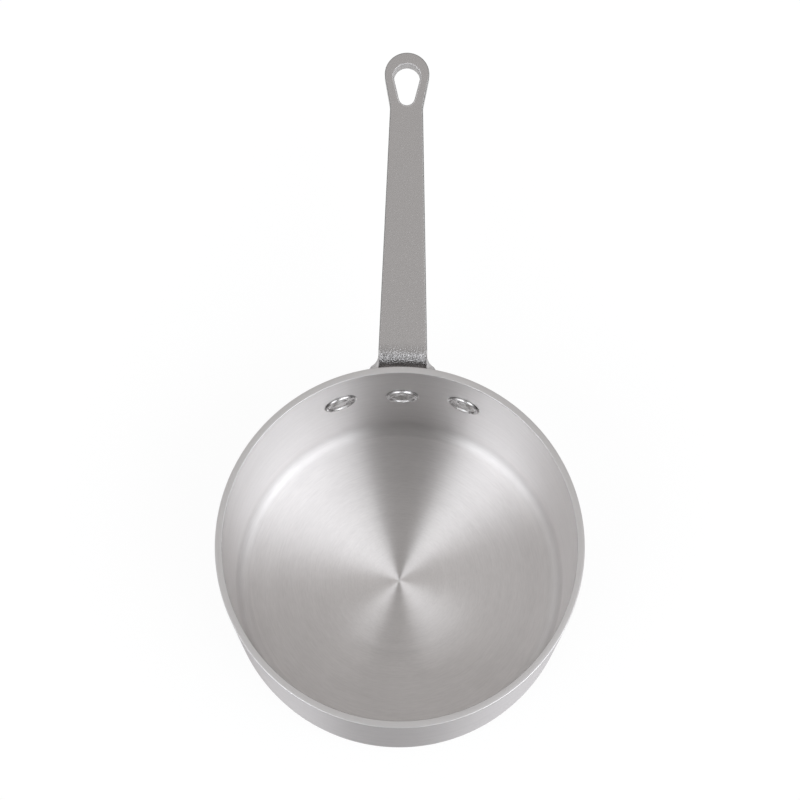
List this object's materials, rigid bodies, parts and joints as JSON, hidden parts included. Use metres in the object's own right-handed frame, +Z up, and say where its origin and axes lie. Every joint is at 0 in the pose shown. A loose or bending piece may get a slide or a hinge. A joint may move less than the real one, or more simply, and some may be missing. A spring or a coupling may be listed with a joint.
{
  "type": "saucepan",
  "caption": "Straight-sided aluminium saucepan with a rounded inner corner and a long pressed steel channel handle, riveted to the wall and ending in a keyhole-shaped hanging eye.",
  "frame": {"origin": "centre of the pan's flat underside", "axes": "+Z up along the pan's axis, +Y along the handle from the pan to its tip, +X to the right"},
  "size_m": [0.208, 0.3957, 0.1206],
  "materials": {
    "satin_aluminium": "brushed in circles, satin",
    "speckled_steel": "plated, finely speckled, satin",
    "bright_aluminium": "smooth, bright"
  },
  "bodies": {
    "root": {"pan_body": "satin_aluminium", "handle": "speckled_steel", "rivet_left": "bright_aluminium", "rivet_centre": "bright_aluminium", "rivet_right": "bright_aluminium"}
  },
  "joints": []
}
